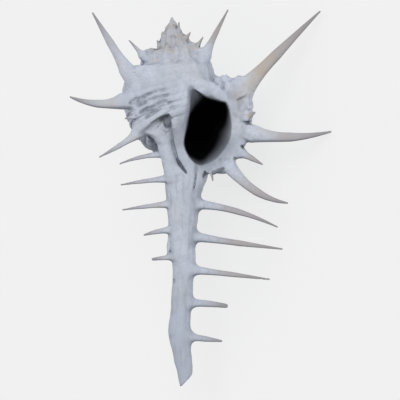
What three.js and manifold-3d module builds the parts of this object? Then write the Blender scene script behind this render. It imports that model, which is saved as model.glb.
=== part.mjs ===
// A spiny murex shell lying on its back, mouth up, in millimetres with +Z up.
// It is modelled in its growth frame: the apex is the origin, the axis runs down -Y, +X is to the
// right and +Z towards the eye when the mouth faces it. At the end it is rolled onto its spines.
import * as THREE from "three";
import { mergeVertices } from "three/addons/utils/BufferGeometryUtils.js";
import Module from "manifold-3d";

// Growth: what one turn of the tube does to its width and to its distance below the apex
const WIDTH_PER_TURN = 1.66;
const HEIGHT_PER_TURN = 1.5;
const LIP_ANGLE = THREE.MathUtils.degToRad(-25);
const VARIX_SPACING = 118 / 360;
const VARIX_COUNT = 16;

// The whorl's section at the lip: where its middle lies, and how far it reaches from there
const SECTION_RADIUS = 11;
const SECTION_DEPTH = 31;
const REACH = { out: 10.3, in: 9.5, up: 11.5, down: 17.2 };
const SHOULDER_SQUARENESS = 2.8;
const BASE_SQUARENESS = 1.5;

// Relief on the whorl: the thickened old lips (varices), ribs between them, and spiral cords
const VARIX_FLARES = [0.24, 0.2, 0.2];
const OLD_VARIX_FLARE = 0.03;
const FLARE_STARTS = 0.55;
const RIB_HEIGHT = 0.035;
const RIBS_PER_STAGE = 3;
const RIBS_FADE = [0.6, 0.9];
const OUTER_FACE = [0.1, 0.8];
const CORD_HEIGHT = 0.025;
const CORD_TOP = THREE.MathUtils.degToRad(80);
const CORD_BOTTOM = THREE.MathUtils.degToRad(-84);

// Growth stages from the lip back to the apex: cords, inner points and rings of each loft.
// Each stage starts a little behind the varix before it, so that it is joined to it.
const STAGE_OVERLAP = 0.1;
const STAGE_DETAIL = [
  { stages: 3, cords: 10, inner: 7, rings: 10 },
  { stages: 6, cords: 7, inner: 5, rings: 7 },
  { stages: 9, cords: 4, inner: 4, rings: 5 },
  { stages: VARIX_COUNT, cords: 3, inner: 3, rings: 4 },
];

// Pillar about the axis, with its radius at each distance below the apex
const PILLAR = [
  [0, 0.2],
  [2, 1.1],
  [4, 1.9],
  [18, 2.4],
  [34, 3.2],
  [46, 4],
];
const PILLAR_SIDES = 10;

// Siphon canal: middle x and y, half width, half thickness
const CANAL = [
  [1.4, -36, 6.4, 5],
  [1.4, -42, 6.8, 5.2],
  [2, -47.4, 6.8, 5.2],
  [1.3, -50.2, 6, 5],
  [0.9, -53.5, 5.3, 4.6],
  [0.2, -58, 4.7, 4.2],
  [-0.3, -68, 3.9, 3.5],
  [-0.4, -75, 3.4, 3.1],
  [-1, -82, 3.1, 2.9],
  [-1.8, -86.5, 3.1, 2.8],
  [-2.6, -94, 3.4, 2.8],
  [-2.5, -99, 3, 2.6],
  [-1.7, -105, 2.6, 2.2],
  [-1.5, -107.6, 2.2, 1.7],
  [-2.5, -110.3, 0.5, 0.7],
];
const CANAL_SIDES = 14;

// Slit along the front of the canal: x, y and z of its bottom. It widens to the front.
const SLIT = [
  [5.2, -43, 4],
  [4.6, -48, 3.6],
  [3.4, -54, 2.6],
  [1.8, -64, 2.1],
  [0.9, -76, 1.7],
  [-0.4, -86, 1.5],
  [-1.2, -98, 1.3],
  [-1, -108, 1],
];
const SLIT_RISE = 6;
const SLIT_TOP_HALF_WIDTH = 1;

// Hollow of the mouth, from the open front round half a turn: middle, half width, half height
const HOLLOW = [
  [[6, -33.6, 22], 9.5, 12.2],
  [[8.2, -33.3, 12], 7.2, 10.8],
  [[9.1, -33.1, 5], 6.6, 10.2],
  [[9.6, -32, -3], 5.8, 8.2],
  [[6.6, -30.4, -9], 5, 7.6],
  [[0.8, -29, -11.4], 4.4, 7],
  [[-5.8, -27.4, -9.8], 3.6, 6],
  [[-9.4, -26, -6], 2.4, 4],
];
const HOLLOW_SIDES = 18;
const HOLLOW_STEPS = 12;
const HOLLOW_LEAN = THREE.MathUtils.degToRad(-8);

// Spines: root, middle and tip, then the radius at the root, halfway and at the tip
const LIP_SPINES = [
  [[20, -22.6, 8], [30.4, -13.3, 10.2], [44.2, -0.9, 11], 3.7, 1.6, 0.3],
  [[22, -36.1, 9], [33.2, -37.9, 10.8], [45.6, -36.9, 10], 2.8, 1.4, 0.3],
  [[18.6, -41.8, 7.6], [21.6, -43.6, 8.6], [24.7, -45.6, 9.2], 1.7, 0.85, 0.25],
  [[14.6, -46.2, 6], [22.5, -53.7, 8], [31.6, -57.5, 8.6], 2.4, 1.25, 0.3],
  [[5.4, -56.6, 1.6], [16.6, -59.3, 3.2], [28.2, -64.5, 4], 1.5, 0.95, 0.25],
  [[4.1, -66.3, 1.4], [16.6, -68.8, 3], [29.4, -71.2, 3.6], 1.5, 0.9, 0.25],
  [[3, -76.2, 1.2], [13.6, -78, 2.6], [25.1, -80.1, 3.2], 1.4, 0.8, 0.25],
  [[1.3, -86, 1], [6.8, -86.5, 1.6], [12.6, -87.4, 2], 1.4, 1, 0.65],
  [[0.7, -96.2, 0.8], [5, -97, 1.2], [9.8, -97.9, 1.6], 1.3, 0.9, 0.35],
];
const LEFT_SPINES = [
  [[-14.3, -15.3, 8], [-18.7, -7.1, 9.4], [-23.6, 2.2, 10.4], 2.6, 1.4, 0.3],
  [[-16, -24.6, 9], [-23.5, -25, 11.6], [-31.5, -22.6, 13], 2.5, 1.2, 0.3],
  [[-12.8, -29.4, 8.2], [-14.2, -29.6, 8.6], [-15.5, -29.8, 9], 0.8, 0.5, 0.2],
  [[-11.6, -34.2, 7], [-17.6, -37.9, 9.4], [-23.7, -41, 11], 2, 1, 0.25],
  [[-5.1, -40.9, 3.6], [-11.8, -41.6, 5], [-17.8, -43.2, 6.4], 1.3, 0.75, 0.2],
  [[-4.6, -48.4, 2], [-11.2, -48.8, 3.6], [-17.8, -49.5, 5], 1.2, 0.65, 0.2],
  [[-4.4, -56, 1.8], [-11.1, -56.4, 3.4], [-17.7, -57, 4.8], 1.2, 0.65, 0.2],
  [[-4.2, -63.8, 1.6], [-7.9, -64.1, 2.6], [-11.7, -64.9, 3.4], 1.2, 0.75, 0.3],
  [[-4, -72, 1.4], [-6.8, -72.1, 2], [-9.7, -72.3, 2.6], 1.1, 0.75, 0.5],
];
const BACK_SPINES = [
  [[-0.8, -19, -15], [-1.2, -14, -22.5], [-1.4, -8.6, -29], 2.7, 1.5, 0.3],
  [[-0.9, -31.2, -18], [-1.3, -32, -23], [-1.4, -31.6, -28.2], 2.4, 1.3, 0.4],
  [[-0.8, -36.2, -16], [-1.1, -37.6, -18.4], [-1.2, -39, -20.6], 1.5, 0.8, 0.3],
  [[-0.6, -40.2, -12], [-1, -44, -18.6], [-1.2, -46.4, -25.6], 2, 1.1, 0.25],
  [[0.1, -47, -3.6], [-0.6, -49, -15], [-1.2, -51.6, -27.6], 1.5, 0.9, 0.2],
  [[0, -56, -3.2], [-0.6, -58, -15.6], [-1.2, -60.6, -29], 1.4, 0.85, 0.25],
  [[-0.2, -65.5, -2.8], [-0.6, -67, -15], [-1, -69, -27.8], 1.4, 0.8, 0.2],
  [[-0.5, -75, -2.4], [-0.9, -76.4, -12], [-1.4, -78, -21.6], 1.3, 0.75, 0.2],
  [[-1.4, -85, -2.2], [-1.7, -86, -8], [-2, -87.2, -13.6], 1.2, 0.75, 0.3],
  [[-2.2, -94, -2], [-2.4, -94.6, -5], [-2.6, -95.2, -8], 1.1, 0.8, 0.45],
];
const LIP_BARBS = [
  [[20.4, -31.6, 9.4], [21.8, -30.9, 9.8], [23.1, -30, 10.1], 1.1, 0.6, 0.25],
  [[9, -46.6, 4.4], [9.5, -48, 4.6], [9.8, -49.3, 4.8], 1.1, 0.6, 0.25],
];
const SPINE_SIDES = 6;
const SPINE_STEPS = 5;
const SPINE_BURIED = 4.5;
const LIP_SPINE_BURIED = new THREE.Vector3(-2.4, 0, -3.6);

// Worn spines on the older varices of the spire
const SPIRE_SPINES = [
  [[9.2, -12.2, 5.4], [12.7, -5.8, 7], [16.7, 1, 8.4], 2.2, 1.1, 0.25],
  [[-9.4, -11, 4.4], [-11.2, -8.8, 5.2], [-13.2, -6.4, 6], 1.5, 0.8, 0.25],
  [[0.5, -12.6, -9.8], [0.7, -9.8, -12.6], [0.8, -6.8, -15.4], 1.7, 0.9, 0.25],
  [[7.2, -8.9, 5], [8.2, -7.7, 5.8], [9, -6.4, 6.4], 1, 0.6, 0.25],
  [[-4.2, -8.6, 1.5], [-4.5, -7.7, 1.6], [-4.8, -6.8, 1.7], 0.8, 0.5, 0.2],
  [[1, -8.5, -6], [1.3, -7.3, -7.2], [1.5, -6.2, -8.2], 1, 0.6, 0.25],
  [[3.8, -6.6, 3.4], [4.6, -5.8, 4], [5.2, -5, 4.4], 0.8, 0.5, 0.2],
  [[1, -5.6, -3.5], [1.2, -4.9, -4.3], [1.4, -4.3, -4.9], 0.7, 0.4, 0.2],
  [[1.8, -4.2, 2], [1.9, -2.9, 2.3], [2, -1.8, 2.5], 0.7, 0.4, 0.2],
];

// Inner lip, a smooth pad down the left of the mouth: middle, half width and half thickness
const INNER_LIP = [
  [[2.6, -22.6, 11.4], 2.6, 1.6],
  [[1, -27.5, 10.4], 3.4, 2.4],
  [[0.2, -34, 7.4], 2.8, 3],
  [[1.2, -40.5, 5], 2.4, 3],
  [[3.6, -46.8, 3.8], 1.8, 2],
];
const INNER_LIP_SIDES = 8;
const INNER_LIP_STEPS = 6;

const SHELL_COLOUR = 0xc4c9d2;
const SHELL_ROUGHNESS = 0.6;
const SAME_POINT = 1e-4;

const wasm = await Module();
wasm.setup();

// A closed solid through rings of points, each ring joined to the next and both ends capped.
function loft(rings) {
  const sides = rings[0].length;
  const points = rings.flat();
  const faces = [];
  for (let ring = 0; ring + 1 < rings.length; ring++) {
    for (let side = 0; side < sides; side++) {
      const next = (side + 1) % sides;
      const a = ring * sides + side;
      const b = ring * sides + next;
      faces.push([a, b, b + sides], [a, b + sides, a + sides]);
    }
  }
  for (const [ring, forward] of [[0, false], [rings.length - 1, true]]) {
    const middle = points.length;
    points.push(centreOf(rings[ring]));
    for (let side = 0; side < sides; side++) {
      const a = ring * sides + side;
      const b = ring * sides + ((side + 1) % sides);
      faces.push(forward ? [a, b, middle] : [b, a, middle]);
    }
  }
  if (signedVolume(points, faces) < 0) {
    faces.forEach((face) => face.reverse());
  }
  const geometry = new THREE.BufferGeometry().setFromPoints(points);
  geometry.setIndex(faces.flat());
  return geometry;
}

function centreOf(ring) {
  const sum = new THREE.Vector3();
  ring.forEach((point) => sum.add(point));
  return sum.divideScalar(ring.length);
}

function signedVolume(points, faces) {
  const cross = new THREE.Vector3();
  let sum = 0;
  for (const [a, b, c] of faces) {
    sum += points[a].dot(cross.crossVectors(points[b], points[c]));
  }
  return sum / 6;
}

// A closed geometry as a solid that can be joined and cut.
function solid(geometry) {
  const bare = geometry.clone();
  bare.deleteAttribute("normal");
  bare.deleteAttribute("uv");
  const merged = mergeVertices(bare, SAME_POINT);
  return new wasm.Manifold(
    new wasm.Mesh({
      numProp: 3,
      vertProperties: new Float32Array(merged.attributes.position.array),
      triVerts: new Uint32Array(merged.index.array),
    }),
  );
}

// A point of the growth frame: turns from the lip (negative is older), distance from the axis and
// distance below the apex.
function growthPoint(turn, radius, depth) {
  const angle = LIP_ANGLE - turn * 2 * Math.PI;
  return new THREE.Vector3(radius * Math.cos(angle), -depth, -radius * Math.sin(angle));
}

function smoothStep(edge0, edge1, value) {
  return THREE.MathUtils.smoothstep(value, edge0, edge1);
}

// The whorl's section in polar form about its middle: 0 points away from the axis, and +90 degrees
// to the apex.
function sectionReach(direction) {
  const across = Math.cos(direction);
  const along = Math.sin(direction);
  const power = along > 0 ? SHOULDER_SQUARENESS : BASE_SQUARENESS;
  const width = across > 0 ? REACH.out : REACH.in;
  const height = along > 0 ? REACH.up : REACH.down;
  return (Math.abs(across / width) ** power + Math.abs(along / height) ** power) ** (-1 / power);
}

// One ring of a growth stage; grown runs from 0 at the stage's start to 1 at its varix.
function whorlRing(turn, grown, varixFlare, detail) {
  const flare = varixFlare * smoothStep(FLARE_STARTS, 1, grown);
  const ribWave = Math.max(0, Math.cos(2 * Math.PI * RIBS_PER_STAGE * grown));
  const rib = RIB_HEIGHT * ribWave * (1 - smoothStep(...RIBS_FADE, grown));
  const ring = [];
  const corners = 2 * detail.cords;
  for (let corner = 0; corner <= corners; corner++) {
    const direction = THREE.MathUtils.lerp(CORD_TOP, CORD_BOTTOM, corner / corners);
    const cord = corner % 2 ? CORD_HEIGHT : -CORD_HEIGHT;
    ring.push(sectionPoint(turn, direction, 1 + cord + (flare + rib) * outward(direction)));
  }
  for (let point = 1; point <= detail.inner; point++) {
    const place = point / (detail.inner + 1);
    const direction = THREE.MathUtils.lerp(CORD_BOTTOM, CORD_TOP - 2 * Math.PI, place);
    ring.push(sectionPoint(turn, direction, 1));
  }
  return ring;
}

// How much of the flare and the ribs reaches this direction: all on the outer face, none inside.
function outward(direction) {
  return smoothStep(...OUTER_FACE, Math.cos(direction));
}

function sectionPoint(turn, direction, swell) {
  const reach = sectionReach(direction) * swell;
  const radius = SECTION_RADIUS + reach * Math.cos(direction);
  const depth = SECTION_DEPTH - reach * Math.sin(direction);
  return growthPoint(turn, radius * WIDTH_PER_TURN ** turn, depth * HEIGHT_PER_TURN ** turn);
}

// The tube grown between one varix and the next.
function growthStage(varix) {
  const detail = STAGE_DETAIL.find((level) => varix < level.stages);
  const flare = VARIX_FLARES[varix] ?? OLD_VARIX_FLARE;
  const end = -varix * VARIX_SPACING;
  const start = end - (1 + STAGE_OVERLAP) * VARIX_SPACING;
  const rings = [];
  for (let ring = 0; ring < detail.rings; ring++) {
    const grown = ring / (detail.rings - 1);
    rings.push(whorlRing(THREE.MathUtils.lerp(start, end, grown), grown, flare, detail));
  }
  return loft(rings);
}

// An ellipse of points across a path, leaning by an angle in its own plane.
function ellipseRing(middle, along, halfWidth, halfHeight, sides, lean = 0) {
  const up = new THREE.Vector3(0, 1, 0);
  const side = new THREE.Vector3().crossVectors(up, along);
  const pathIsUpright = side.length() < SAME_POINT;
  if (pathIsUpright) {
    side.set(1, 0, 0);
  }
  side.normalize();
  const upright = new THREE.Vector3().crossVectors(along, side).normalize();
  return Array.from({ length: sides }, (_, index) => {
    const angle = (2 * Math.PI * index) / sides;
    const x = halfWidth * Math.cos(angle);
    const y = halfHeight * Math.sin(angle);
    return middle
      .clone()
      .addScaledVector(side, x * Math.cos(lean) - y * Math.sin(lean))
      .addScaledVector(upright, x * Math.sin(lean) + y * Math.cos(lean));
  });
}

function pillar() {
  const down = new THREE.Vector3(0, -1, 0);
  return loft(PILLAR.map(([depth, radius]) => {
    const middle = new THREE.Vector3(0, -depth, 0);
    return ellipseRing(middle, down, radius, radius, PILLAR_SIDES);
  }));
}

function canal() {
  return loft(CANAL.map(([x, y, halfWidth, halfThickness]) =>
    Array.from({ length: CANAL_SIDES }, (_, index) => {
      const angle = (2 * Math.PI * index) / CANAL_SIDES;
      return new THREE.Vector3(x + halfWidth * Math.cos(angle), y, halfThickness * Math.sin(angle));
    }),
  ));
}

function slit() {
  return loft(SLIT.map(([x, y, z]) => [
    new THREE.Vector3(x, y, z),
    new THREE.Vector3(x + SLIT_TOP_HALF_WIDTH, y, z + SLIT_RISE),
    new THREE.Vector3(x - SLIT_TOP_HALF_WIDTH, y, z + SLIT_RISE),
  ]));
}

// A closed tube along a path, through ellipses given as middle, half width and half height.
function ellipseTube(stations, steps, sides, lean = 0) {
  const path = new THREE.CatmullRomCurve3(stations.map(([middle]) => new THREE.Vector3(...middle)));
  const spans = stations.length - 1;
  const rings = [];
  for (let step = 0; step <= steps; step++) {
    const place = step / steps;
    const index = Math.min(Math.floor(place * spans), spans - 1);
    const blend = place * spans - index;
    const halfWidth = THREE.MathUtils.lerp(stations[index][1], stations[index + 1][1], blend);
    const halfHeight = THREE.MathUtils.lerp(stations[index][2], stations[index + 1][2], blend);
    const middle = path.getPoint(place);
    const along = path.getTangent(place);
    rings.push(ellipseRing(middle, along, halfWidth, halfHeight, sides, lean));
  }
  return loft(rings);
}

// A spine starts buried in the shell, swells where it leaves it and thins to its tip.
function spine([rootAt, middleAt, tipAt, rootRadius, middleRadius, tipRadius], buriedBy) {
  const [root, middle, tip] = [rootAt, middleAt, tipAt].map((point) => new THREE.Vector3(...point));
  const inward = buriedBy ?? root.clone().sub(middle).setLength(SPINE_BURIED);
  const path = new THREE.CatmullRomCurve3([root, middle, tip]);
  const buried = root.clone().add(inward);
  const rings = [ellipseRing(buried, path.getTangent(0), rootRadius, rootRadius, SPINE_SIDES)];
  for (let step = 0; step <= SPINE_STEPS; step++) {
    const place = step / SPINE_STEPS;
    const radius = place < 0.5
      ? THREE.MathUtils.lerp(middleRadius, rootRadius, (1 - 2 * place) ** 2)
      : THREE.MathUtils.lerp(middleRadius, tipRadius, 2 * place - 1);
    rings.push(ellipseRing(path.getPoint(place), path.getTangent(place), radius, radius, SPINE_SIDES));
  }
  return loft(rings);
}

function shellGeometry() {
  const grown = Array.from({ length: VARIX_COUNT }, (_, varix) => growthStage(varix));
  const lipSpines = [...LIP_SPINES, ...LIP_BARBS].map((row) => spine(row, LIP_SPINE_BURIED));
  const olderSpines = [...LEFT_SPINES, ...BACK_SPINES, ...SPIRE_SPINES].map((row) => spine(row));
  const innerLip = ellipseTube(INNER_LIP, INNER_LIP_STEPS, INNER_LIP_SIDES);
  const hollow = ellipseTube(HOLLOW, HOLLOW_STEPS, HOLLOW_SIDES, HOLLOW_LEAN);
  const added = [...grown, pillar(), canal(), innerLip, ...lipSpines, ...olderSpines];
  const removed = [hollow, slit()];
  const joined = added.map(solid).reduce((whole, piece) => whole.add(piece));
  const carved = removed.map(solid).reduce((whole, piece) => whole.subtract(piece), joined);
  const mesh = carved.getMesh();
  const geometry = new THREE.BufferGeometry();
  geometry.setAttribute("position", new THREE.BufferAttribute(mesh.vertProperties, 3));
  geometry.setIndex(new THREE.BufferAttribute(mesh.triVerts, 1));
  geometry.computeVertexNormals();
  return geometry;
}

const shell = new THREE.Mesh(
  shellGeometry(),
  new THREE.MeshStandardMaterial({ color: SHELL_COLOUR, roughness: SHELL_ROUGHNESS, metalness: 0 }),
);
shell.name = "shell";

// It rests on two spine tips of the back comb and on the long side spine of the lip.
const backFoot = BACK_SPINES[0][2];
const lipFoot = LIP_SPINES[1][2];
const lying = new THREE.Group();
lying.add(shell);
lying.rotation.y = Math.atan2(lipFoot[2] - backFoot[2], lipFoot[0] - backFoot[0]);

const murex = new THREE.Group();
murex.add(lying);
murex.updateMatrixWorld(true);
const box = new THREE.Box3().setFromObject(murex, true);
lying.position.set(-(box.min.x + box.max.x) / 2, -(box.min.y + box.max.y) / 2, -box.min.z);

export default murex;
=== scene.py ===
# %% [markdown]
# # A spiny murex shell
#
# This lesson dresses one solid, a murex shell that lies on the tips of its spines with its mouth up.
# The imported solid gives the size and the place. Here it gets the fine shape and the finish:
# cords, ribs, webbed spines, the smooth inner lip, and a chalky, blue-grey surface.

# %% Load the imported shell
import math

import bpy
import numpy as np
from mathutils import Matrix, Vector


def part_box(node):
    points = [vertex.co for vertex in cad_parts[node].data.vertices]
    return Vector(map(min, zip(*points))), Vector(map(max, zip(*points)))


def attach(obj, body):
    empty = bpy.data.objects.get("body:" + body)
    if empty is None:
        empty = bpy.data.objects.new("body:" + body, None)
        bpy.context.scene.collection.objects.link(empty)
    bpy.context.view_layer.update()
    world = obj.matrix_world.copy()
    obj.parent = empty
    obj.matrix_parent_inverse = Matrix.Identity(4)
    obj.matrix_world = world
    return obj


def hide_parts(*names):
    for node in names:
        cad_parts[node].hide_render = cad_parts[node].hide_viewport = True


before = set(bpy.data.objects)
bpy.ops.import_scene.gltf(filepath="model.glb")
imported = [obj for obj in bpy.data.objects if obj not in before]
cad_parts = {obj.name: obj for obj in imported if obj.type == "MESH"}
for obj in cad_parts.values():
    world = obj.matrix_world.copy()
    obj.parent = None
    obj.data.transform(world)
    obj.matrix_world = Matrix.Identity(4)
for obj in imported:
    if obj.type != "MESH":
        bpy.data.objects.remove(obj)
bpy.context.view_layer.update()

import openvdb
from mathutils import Matrix, Vector

MM = 0.001
low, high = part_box("shell")
print("solid shell, mm:", [round(side / MM, 1) for side in high - low])

# %% [markdown]
# ## The growth frame
#
# A snail builds its shell at the lip, turning about one axis while the tube gets wider. So the shape is
# easiest to describe before the shell is laid down: the apex is the origin, the axis runs down -Y, +X is
# to the right and +Z towards someone who looks into the mouth. All sizes there are millimetres. One turn
# about the axis and one shift lay the shell on its spines, where the solid is.

# %% From the growth frame to where the shell lies
WIDTH_PER_TURN = 1.66
HEIGHT_PER_TURN = 1.5
LIP_ANGLE = math.radians(-25)
VARIX_SPACING = 118 / 360

BACK_FOOT = (-1.4, -8.6, -29)
LIP_FOOT = (45.6, -36.9, 10)
APEX_LIES_AT = Vector((-10.93, 53.99, 21.72))

roll = math.atan2(LIP_FOOT[2] - BACK_FOOT[2], LIP_FOOT[0] - BACK_FOOT[0])
lay_down = Matrix.Translation(APEX_LIES_AT * MM) @ Matrix.Rotation(roll, 4, "Y") @ Matrix.Scale(MM, 4)
print("the shell is rolled by", round(math.degrees(roll), 1), "degrees")

# %% [markdown]
# ## Camera
#
# The camera comes early, because every later choice is judged through it. It looks straight into the mouth
# along -Z of the growth frame, which is a view down on the lying shell. A long lens keeps the spines
# nearly parallel, as in a studio picture, and a small roll tips the shell's axis by three degrees.

# %% Place the camera
PICTURE_WIDTH = 120
PICTURE_MIDDLE = Vector((5.56, -55.26, 3))
CAMERA_DISTANCE = 1500
CAMERA_TIPS = math.atan(0.0516)

camera_data = bpy.data.cameras.new("camera")
camera_data.sensor_width = 36
camera_data.lens = camera_data.sensor_width * CAMERA_DISTANCE / PICTURE_WIDTH
camera_data.clip_end = 100
camera = bpy.data.objects.new("camera", camera_data)
bpy.context.scene.collection.objects.link(camera)
eye = lay_down @ (PICTURE_MIDDLE + Vector((0, 0, CAMERA_DISTANCE)))
looking = Matrix.Rotation(roll, 4, "Y") @ Matrix.Rotation(-CAMERA_TIPS, 4, "Z")
camera.matrix_world = Matrix.Translation(eye) @ looking
bpy.context.scene.camera = camera
print("lens", round(camera_data.lens), "mm at", round(eye.length, 2), "m")

# %% [markdown]
# ## Floor and light
#
# A pale floor and soft light: an even white surround for most of it, and a broad sun from the apex side,
# which leaves the undersides of the spines darker. The floor glows a little, like a light table, so it
# stays nearly white under the shell. A big softbox would do too, but it would show in the gloss.

# %% Floor
FLOOR_COLOUR = (0.2, 0.2, 0.2, 1)
FLOOR_GLOW = 0.69
FLOOR_REACH = 12

floor_mesh = bpy.data.meshes.new("floor")
corner_signs = ((-1, -1), (1, -1), (1, 1), (-1, 1))
floor_corners = [(FLOOR_REACH * side, FLOOR_REACH * end, 0) for side, end in corner_signs]
floor_mesh.from_pydata(floor_corners, [], [(0, 1, 2, 3)])
floor = bpy.data.objects.new("floor", floor_mesh)
bpy.context.scene.collection.objects.link(floor)
floor_finish = bpy.data.materials.new("pale floor")
floor_finish.use_nodes = True
floor_shader = floor_finish.node_tree.nodes["Principled BSDF"]
floor_shader.inputs["Base Color"].default_value = FLOOR_COLOUR
floor_shader.inputs["Emission Color"].default_value = (1, 1, 1, 1)
floor_shader.inputs["Emission Strength"].default_value = FLOOR_GLOW
floor_shader.inputs["Roughness"].default_value = 0.9
floor_shader.inputs["Specular IOR Level"].default_value = 0.1
floor_mesh.materials.append(floor_finish)
print("floor of", 2 * FLOOR_REACH, "m")

# %% Surround and sun
SURROUND = 0.66
SUN_STRENGTH = 1.1
SUN_ANGLE = math.radians(40)
SUN_FROM = Vector((-0.2, 0.55, 1))

world = bpy.data.worlds.new("studio")
bpy.context.scene.world = world
world.use_nodes = True
surround = world.node_tree.nodes["Background"]
surround.inputs["Color"].default_value = (1, 1, 1, 1)
surround.inputs["Strength"].default_value = SURROUND

sun_data = bpy.data.lights.new("sun", "SUN")
sun_data.energy = SUN_STRENGTH
sun_data.angle = SUN_ANGLE
sun = bpy.data.objects.new("sun", sun_data)
bpy.context.scene.collection.objects.link(sun)
sun_direction = (Matrix.Rotation(roll, 3, "Y") @ SUN_FROM).normalized()
sun.rotation_euler = sun_direction.to_track_quat("Z", "Y").to_euler()
bpy.context.scene.view_settings.view_transform = "Standard"
print("sun from", [round(part, 2) for part in sun_direction])

# %% [markdown]
# ## A shape as a field
#
# The shell has no flat parts and no edges that a modeller could draw: spines flow into the whorl, cords
# run into the lip, and the mouth is eaten out of it all. It could be sculpted, or lofted and remeshed. Here
# it is written as a field: a function that is negative inside the shell, positive outside, and close to the
# distance from the surface. Fields join and cut with a soft fillet by simple arithmetic.

# %% Arithmetic of fields
def smooth_step(start, end, value):
    share = np.clip((value - start) / (end - start), 0, 1)
    return share * share * (3 - 2 * share)


def join(first, second, fillet):
    share = np.clip(0.5 + 0.5 * (second - first) / fillet, 0, 1)
    return second + (first - second) * share - fillet * share * (1 - share)


def cut(body, tool, fillet):
    return -join(-body, tool, fillet)


def along_table(table, column, place, rounding=0):
    rows = sorted(table)
    places, values = [row[0] for row in rows], [row[column] for row in rows]
    if not rounding:
        return np.interp(place, places, values)
    return sum(np.interp(place + shift * rounding, places, values) for shift in (-1, 0, 1)) / 3


print("where two surfaces meet, the fillet lifts them by", -join(0.0, 0.0, 1.0), "of its size")

# %% [markdown]
# ## The whorls
#
# The tube's section keeps its shape while it turns: each turn is 1.66 times as wide as the last one and
# reaches 1.5 times as far below the apex. For a point in space, its angle about the axis gives the growth
# time up to whole turns, so a few whole turns back are tried, and the nearest whorl wins.

# %% The section of the tube
SECTION_RADIUS = 11
SECTION_DEPTH = 31
REACH_OUT = 10.3
REACH_IN = 9.5
REACH_UP = 11.5
REACH_DOWN = 17.2
SHOULDER_SQUARENESS = 2.8
BASE_SQUARENESS = 1.5


def section_reach(direction):
    across, along = np.cos(direction), np.sin(direction)
    width = np.where(across > 0, REACH_OUT, REACH_IN)
    upper = (np.abs(across / width) ** SHOULDER_SQUARENESS
             + np.abs(along / REACH_UP) ** SHOULDER_SQUARENESS) ** (-1 / SHOULDER_SQUARENESS)
    lower = (np.abs(across / width) ** BASE_SQUARENESS
             + np.abs(along / REACH_DOWN) ** BASE_SQUARENESS) ** (-1 / BASE_SQUARENESS)
    return np.where(along > 0, upper, lower)


print("the section at the lip is", REACH_OUT + REACH_IN, "by", REACH_UP + REACH_DOWN, "mm")

# %% [markdown]
# ## Varices, ribs and cords
#
# Three times a turn the snail stops and thickens its lip. Each such old lip stays behind as a varix, a
# ridge that rises slowly and drops off steeply. Low ribs lie between the varices. Spiral cords cross them,
# faint on the shoulder and deep-cut at the base, and they climb a little towards the older side.

# %% Where the cords lie
CORDS = 10
CORD_TOP = math.radians(80)
CORD_BOTTOM = math.radians(-84)
CORDS_CLIMBED = 2


def cord_phase(turn, direction):
    after_varix = (-turn / VARIX_SPACING) % 1
    return (direction - CORD_BOTTOM) / (CORD_TOP - CORD_BOTTOM) * CORDS - CORDS_CLIMBED * after_varix


print(CORDS, "cords, which climb by", CORDS_CLIMBED, "between two varices")

# %% Relief on the tube
VARIX_FLARES = np.array([0.24, 0.2, 0.2, 0.08, 0.12, 0.16, 0.14, 0.14])
FLARE_STARTS = 0.55
VARIX_DROP = 0.07
SHOULDER_CORNER = 0.4
RIBS_PER_STAGE = 5
RIB_HEIGHT = 0.042
SPIRE_RIBS = 3.2
CORD_LOW, CORD_HIGH = 0.032, 0.1
FRONT_WORN = 0.7
THREAD_HEIGHT = 0.008
GLAZE_FROM, GLAZE_TO = -0.80, -0.90
# turn, spread and depth of the places where the tube is drawn in
DIPS = [(-1, 0.1, 0.26), (-2.57, 0.15, 0.52)]


def relief(turn, direction):
    since_lip = -turn / VARIX_SPACING
    stage = np.floor(since_lip)
    grown = 1 - (since_lip - stage)
    ahead = VARIX_FLARES[np.clip(stage, 0, 7).astype(int)]
    behind = VARIX_FLARES[np.clip(stage + 1, 0, 7).astype(int)]
    flare = np.maximum(ahead * smooth_step(FLARE_STARTS, 1, grown),
                       behind * (1 - smooth_step(0, VARIX_DROP, grown)))
    outer = smooth_step(0.1, 0.8, np.cos(direction))
    corner = SHOULDER_CORNER * flare * np.exp(-((direction - 0.85) / 0.3) ** 2)
    spire = smooth_step(-0.98, -1.2, turn)
    rib = RIB_HEIGHT * (1 + SPIRE_RIBS * spire) * (0.5 + 0.5 * np.cos(2 * np.pi * RIBS_PER_STAGE * grown))
    rib = rib * (1 - smooth_step(0.6, 0.9, grown))
    phase = cord_phase(turn, direction)
    from_crest = 2 * np.abs(phase - np.round(phase))
    uneven = 0.75 + 0.25 * np.sin(9 * np.round(phase) + 26 * turn)
    front = smooth_step(-0.6, -0.66, turn) * smooth_step(-1, -0.95, turn)
    towards_base = smooth_step(0.1, -0.7, direction) * (1 - FRONT_WORN * front)
    cut_in = CORD_LOW + (CORD_HIGH - CORD_LOW) * towards_base * uneven
    cord = cut_in * (0.25 - from_crest ** 3) + THREAD_HEIGHT * np.cos(6 * np.pi * phase)
    bare = smooth_step(GLAZE_FROM, GLAZE_TO, turn) * smooth_step(-1.1, -1, turn)
    on_outside = smooth_step(CORD_BOTTOM - 0.2, CORD_BOTTOM + 0.2, direction)
    on_outside = on_outside * (1 - smooth_step(CORD_TOP - 0.2, CORD_TOP + 0.2, direction)) * (1 - bare)
    dip = sum(depth * np.exp(-((turn - place) / spread) ** 2) for place, spread, depth in DIPS)
    dip = dip * smooth_step(-0.2, 0.3, direction)
    rib_zone = smooth_step(-0.8, -0.2, np.cos(direction))
    return 1 + (flare - dip) * outer + rib * rib_zone + corner + cord * on_outside


flared = relief(np.array([-0.005]), np.array([0.5]))[0]
print("the lip flares to", round(float(flared), 2), "times the plain section")

# %% The whorls, cut off flat at the lip
TURNS_BACK = 6
BEYOND_LIP = 0.12
SUTURE_FILLET = 2.2
LIP_FILLET = 0.9
AHEAD_OF_LIP = (math.sin(LIP_ANGLE), math.cos(LIP_ANGLE))


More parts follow.
